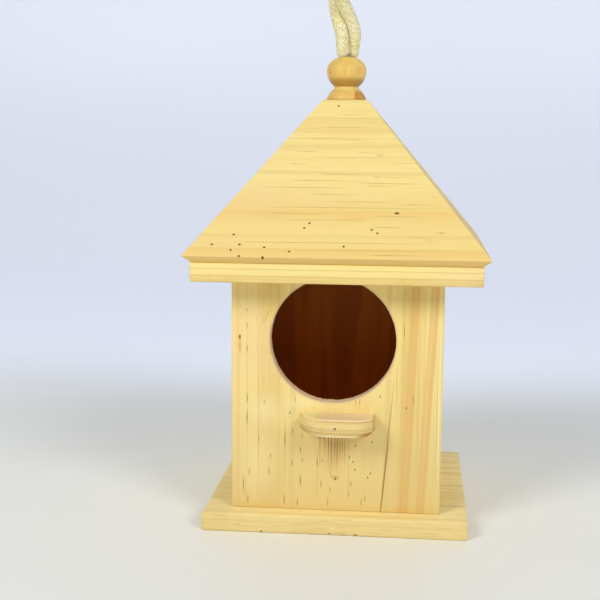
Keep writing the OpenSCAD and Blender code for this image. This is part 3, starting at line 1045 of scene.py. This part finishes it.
# Marks of the front roof board, in mm, as (distance up from the arris, lowest X, highest X, half width)
ROOF_LINES = [
    (75.9, -14, 17, 0.3), (68.7, -22, 4, 0.45), (68.0, -6, 18, 0.3), (60.9, -24, -10, 0.4),
    (60.0, 5, 18, 0.3), (57.3, -24, 34, 0.38), (53.2, -27, -14, 0.35), (54.0, 20, 40, 0.3),
    (47.4, -14, 20, 0.33), (46.2, 12, 34, 0.3), (43.6, -28, 10, 0.42), (42.4, 0, 46, 0.45),
    (40.9, 8, 30, 0.3), (39.4, -45, 12, 0.48), (35.5, -18, 14, 0.33), (31.4, -12, 33, 0.4),
    (30.2, 25, 50, 0.3), (27.9, -56, 60, 0.42), (24.6, -40, 5, 0.35), (23.4, 14, 40, 0.45),
    (21.0, -30, 22, 0.3), (17.3, 12, 34, 0.5), (14.5, 44, 50, 0.7), (12.0, 30, 44, 0.35),
    (8.4, -58, 52, 0.35), (4.6, -30, 62, 0.45), (2.1, 10, 46, 0.4), (83.5, -8, 14, 0.3)
]
ROOF_DOTS = [
    (6.8, -56.4), (7.0, -43.7), (12.5, -46.9), (3.9, -47.5), (0.8, -43.4), (5.6, -32.3),
    (0.4, -32.6), (3.6, -20.8), (16.6, -14.8), (19.3, -12.6), (6.6, 3.7), (89.0, -2.9),
    (14.2, 18.5), (16.0, 16.0)
]


ROOF_FOOT = (0.85, 0.61, 0.21)


def roof_wood(name, turn, seed):
    """A roof board: u runs along the eave, v up the slope and w through the board."""
    spin = Matrix.Rotation(turn, 3, "Z")
    along = spin @ Vector(X)
    across = spin @ Vector((0, math.cos(roof_slope), math.sin(roof_slope)))
    arris = Vector((0, -roof_half, arris_z)) / MM
    foot = arris.y * math.cos(roof_slope) + arris.z * math.sin(roof_slope)
    face = arris.z * math.cos(roof_slope) - arris.y * math.sin(roof_slope)
    wood = Wood(name, along, across, seed, face=face, pith=(foot + 30.0, 60.0), wave=1.5)
    if turn == 0:
        lines = ROOF_LINES
        dots = ROOF_DOTS
        bands = ((25.7, 9.5, 0.55), (4.6, 13.0, 0.66))
    else:
        pick = random.Random(seed)
        lines = scattered(seed, 26, (2, 88), (-40, 15), (12, 50), (0.3, 0.5))
        dots = [(pick.uniform(2, 30), pick.uniform(-50, 50)) for _ in range(9)]
        bands = ((pick.uniform(10, 22), -9.0, 0.5),
                 (pick.uniform(-2, 2), -8.0, 0.5),
                 (pick.uniform(45, 60), -6.0, 0.4))
    for start, width, strength in bands:
        wood.band(foot + start, width, strength=strength, sharp=1.5)
    wood.patch(foot + 34.0, 10.0, 5.0, 60.0, CREAM, 0.20)
    wood.patch(foot + 12.5, -5.0, 4.5, 65.0, CREAM, 0.15)
    wood.paint(ROOF_FOOT, 0.50, wood.smooth(wood.v, foot + 62.0, foot + 16.0))
    for up, u, reach_up, reach_u, colour, strength in ((72.0, 0.0, 5.0, 30.0, TAN, 0.40),
                                                       (58.7, 18.3, 1.6, 3.0, LINE, 0.45),
                                                       (46.5, 17.0, 1.4, 2.6, LINE, 0.30),
                                                       (22.0, 8.0, 3.0, 9.0, ORANGE, 0.45),
                                                       (10.0, 42.0, 2.5, 3.0, ORANGE, 0.40)):
        wood.patch(foot + up, u, reach_up, reach_u, colour, strength)
    rows = [(foot + up, low, high, half_width) for up, low, high, half_width in lines]
    wood.strokes(rows, LINE, 0.47)
    # Every other line is darker along its left half
    darker = [(v, low + 4, (low + high) / 2, half_width * 0.8) for v, low, high, half_width in rows[::2]]
    wood.strokes(darker, BROWN, 0.27)
    wood.dots([(foot + up, u) for up, u in dots], 0.58)
    wood.dots([(foot + 25.2, 27.1)], 0.75, stretch=1.9)
    return wood.close()


SIDES = [("roof_front", 0.0, 31), ("roof_right", math.pi / 2, 37),
         ("roof_back", math.pi, 41), ("roof_left", -math.pi / 2, 43)]
for node, turn, seed in SIDES:
    wood = roof_wood(node + "_pine", turn, seed)
    add_piece(node + "_board", roof_board(turn, seed), wood, node)


# ---- Eave board ----

EAVE_HOUSING = 4.0 * MM


def eave_wood():
    """The eave board: u is X, v is Y and w is Z. Its front and back edges carry long marks too."""
    wood = Wood("eave_pine", X, Y, 29.0, face=eave_low.z / MM, pith=(-40.0, 60.0))
    wood.strokes(scattered(71, 30, (-66, 66), (-60, 30), (15, 60), (0.3, 0.5)), LINE, 0.5)
    edge = eave_high.y / MM
    on_edge = wood.smooth(wood.math("ABSOLUTE", wood.v), edge - 1.0, edge - 0.5)
    for drop, strength in ((3.2, 0.35), (6.4, 0.45)):
        line = wood.math("ABSOLUTE", wood.plus(wood.off_face, -drop))
        wood.paint(LINE, strength, on_edge, wood.smooth(line, 0.35, 0.1))
    wood.paint_chamber_shade()
    return wood.close()


eave = add_board("eave", "eave_board", eave_wood(), 6.0)
cut_out(eave, box_cutter((front_low.x, front_low.y, eave_low.z - 1 * MM),
                         (-front_low.x, -front_low.y, eave_low.z + EAVE_HOUSING)))


# ---- Finial ----

def lathe(profile, sides):
    """A turned solid from (radius, height) pairs that run up the outside and back down the bore."""
    points = [Vector((r * math.cos(2 * math.pi * k / sides), r * math.sin(2 * math.pi * k / sides), z))
              for r, z in profile for k in range(sides)]
    return points, loops_to_faces(len(profile), sides)


BALL_RADIUS = 9.85 * MM
BALL_UP = 14.5 * MM
BALL_RISE = 7.1 * MM
NECK_RADIUS = 5.8 * MM
FINIAL_BORE = 4.02 * MM
FOOT_MM = [
    (9.5, 0.0), (9.76, 0.3), (9.78, 0.9), (9.4, 1.7), (8.9, 2.5), (8.35, 3.4), (7.6, 4.3),
    (6.85, 5.1), (6.2, 5.75)
]


def finial_profile():
    """Radius and height, up the outside over the foot and the ball, and back down the bore."""
    bottom = finial_low.z
    widest = bottom + BALL_UP
    profile = [(FINIAL_BORE, bottom)] + [(r * MM, bottom + z * MM) for r, z in FOOT_MM]
    lowest = -math.acos(NECK_RADIUS / BALL_RADIUS)
    highest = math.acos((FINIAL_BORE + 0.3 * MM) / BALL_RADIUS)
    for k in range(37):
        angle = lowest + (highest - lowest) * k / 36
        rise = BALL_RISE if angle > 0 else BALL_RADIUS
        profile.append((BALL_RADIUS * math.cos(angle), widest + rise * math.sin(angle)))
    profile += [(FINIAL_BORE, profile[-1][1] - 0.25 * MM), (FINIAL_BORE, widest)]
    return profile


FINIAL_LIGHT = (0.845, 0.58, 0.146)
FINIAL_DARK = (0.755, 0.475, 0.108)
FINIAL_NECK_HIGHLIGHT = (0.80, 0.62, 0.22)
UNDER_BALL_SHADE = (0.44, 0.225, 0.04)
FINIAL_FOOT = (0.72, 0.44, 0.10)
FOOT_RIGHT = (0.56, 0.21, 0.02)


def finial_wood():
    """The finial: u is Z, v is X and w is Y, in mm."""
    foot = finial_low.z / MM
    wood = Wood("turned_pine", UP, X, 47.0, face=-9.0, pith=(3.0, 2.0), light=FINIAL_LIGHT,
                dark=FINIAL_DARK)
    neck = wood.span(wood.u, foot + 4.4, foot + 5.4, foot + 6.1, foot + 6.7)
    under_ball = wood.span(wood.u, foot + 6.0, foot + 7.0, foot + 8.6, foot + 12.0)
    # A painted highlight on the neck
    wood.paint(FINIAL_NECK_HIGHLIGHT, 0.6, neck)
    # Painted shade under the ball
    wood.paint(UNDER_BALL_SHADE, 0.86, under_ball)
    wood.paint(FINIAL_FOOT, 0.35, wood.smooth(wood.u, foot + 5.6, foot + 4.0))
    # The foot's right side has a deep orange patch with a sharp left edge
    blotch = wood.noise(wood.place, 0.45)
    wood.paint(FOOT_RIGHT, 0.80, wood.smooth(wood.v, 4.2, 4.9),
               wood.smooth(wood.u, foot + 5.2, foot + 3.8),
               wood.smooth(wood.w, 1.0, -2.0), wood.smooth(blotch, 0.15, 0.45))
    wood.dots([(-8.0, foot + 14.8), (-7.6, foot + 13.0)], 0.35, reach=12.0)
    scars = [(6.6, foot + 18.4, foot + 19.1, 0.9), (-2.5, foot + 19.8, foot + 20.3, 0.7)]
    wood.strokes(scars, DARK, 0.8, reach=9.0)
    wood.tune({"Coat Weight": 0.12, "Coat Roughness": 0.4})
    return wood.close(0.08, 0.48)


add_piece("turned_finial", lathe(finial_profile(), 128), finial_wood(), "finial")


# ---- Nails and brads ----

def steel_material():
    tree = Tree("nail_steel")
    rust = tree.noise(tree.place, 1.4, 3.0, 0.6)
    fine = tree.noise(tree.place, 9.0, 2.0)
    colour = tree.mix(tree.smooth(rust, 0.45, 0.7), (0.33, 0.26, 0.19), (0.16, 0.08, 0.035))
    roughness = tree.math("MULTIPLY_ADD", rust, 0.35, 0.25)
    tree.tune({"Metallic": 0.5})
    return tree.finish(colour, roughness, tree.bump(fine, 0.05, 0.6))


steel = steel_material()
for node in ("perch_brad", "wall_brads", "base_nails", "eave_nails"):
    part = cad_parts[node]
    if not part.material_slots:
        part.data.materials.append(steel)
    for slot in part.material_slots:
        slot.material = steel


# ---- Studio ----

def studio_material():
    """A pale grey floor that turns to pale blue behind the object and up the backdrop.

    Where the softboxes don't reach, it glows a little, so that it stays pale from every side.
    """
    tree = Tree("studio_pale")
    across, far, _ = tree.split(tree.place)
    side = tree.math("MULTIPLY_ADD", tree.noise(tree.place, 0.004, 1.0), 60.0, far)
    behind = tree.smooth(side, 170.0, 420.0)
    tone = tree.mix(behind, (0.90, 0.90, 0.845), (0.72, 0.75, 0.82))
    unlit = tree.smooth(tree.vector("LENGTH", tree.combine(across, far, 0.0)), 450.0, 1300.0)
    glow = tree.mix(unlit, (0.0, 0.0, 0.0), (0.46, 0.46, 0.44))
    tree.tune({"Emission Color": tree.mix(behind, glow, (0.20, 0.21, 0.245)), "Emission Strength": 1.0})
    speck = tree.noise(tree.place, 0.05, 2.0)
    return tree.finish(tone, 0.45, tree.bump(speck, 0.01, 0.1))


def add_floor():
    """A floor that sweeps up into a backdrop, which stands at back and is rise high."""
    size = 3.0
    back = 1.1
    rise = 2.2
    bend = 0.35
    profile = [(-size, 0.0), (back - bend, 0.0)]
    profile += [(back - bend + bend * math.sin(a), bend - bend * math.cos(a))
                for a in (math.pi / 2 * k / 12 for k in range(1, 13))]
    profile += [(back, rise)]
    points = [(x, y, z) for y, z in profile for x in (-size, size)]
    faces = [[2 * k, 2 * k + 1, 2 * k + 3, 2 * k + 2] for k in range(len(profile) - 1)]
    mesh = bpy.data.meshes.new("floor")
    mesh.from_pydata(points, [], faces)
    floor = add_object("floor", mesh)
    mesh.shade_smooth()
    mesh.materials.append(studio_material())


SOFTBOX_COLOUR = (1.0, 0.99, 0.965)
SOFTBOX_SIZE = 0.55
SOFTBOX_AWAY = 1.6
SOFTBOX_ELEVATION = 32
AIM = Vector((0, 0, 0.11))


def add_softbox(name, azimuth, power):
    """A square area light that faces the object. Azimuth is in degrees from the front, towards +X."""
    turn, lift = math.radians(azimuth), math.radians(SOFTBOX_ELEVATION)
    away = Vector((math.sin(turn) * math.cos(lift), -math.cos(turn) * math.cos(lift), math.sin(lift)))
    data = bpy.data.lights.new(name, "AREA")
    data.size = SOFTBOX_SIZE
    data.energy = power
    data.color = SOFTBOX_COLOUR
    light = add_object(name, data)
    light.location = AIM + away * SOFTBOX_AWAY
    light.rotation_euler = (-away).to_track_quat("-Z", "Y").to_euler()


# The sky's strength as a light, and as the camera sees it
SKY_LIGHT = 0.33
SKY_SEEN = 0.75


def add_world():
    """An even pale sky, dimmer as a light than it looks, so that it only softens the shadows."""
    world = bpy.data.worlds.new("studio")
    bpy.context.scene.world = world
    world.use_nodes = True
    nodes, links = world.node_tree.nodes, world.node_tree.links
    sky = nodes["Background"]
    sky.inputs["Color"].default_value = (0.90, 0.94, 1.0, 1)
    path = nodes.new("ShaderNodeLightPath")
    strength = nodes.new("ShaderNodeMapRange")
    links.new(path.outputs["Is Camera Ray"], strength.inputs["Value"])
    strength.inputs["To Min"].default_value = SKY_LIGHT
    strength.inputs["To Max"].default_value = SKY_SEEN
    links.new(strength.outputs["Result"], sky.inputs["Strength"])


add_floor()
add_softbox("left", -38, 10.6)
add_softbox("right", 40, 9.4)
add_world()
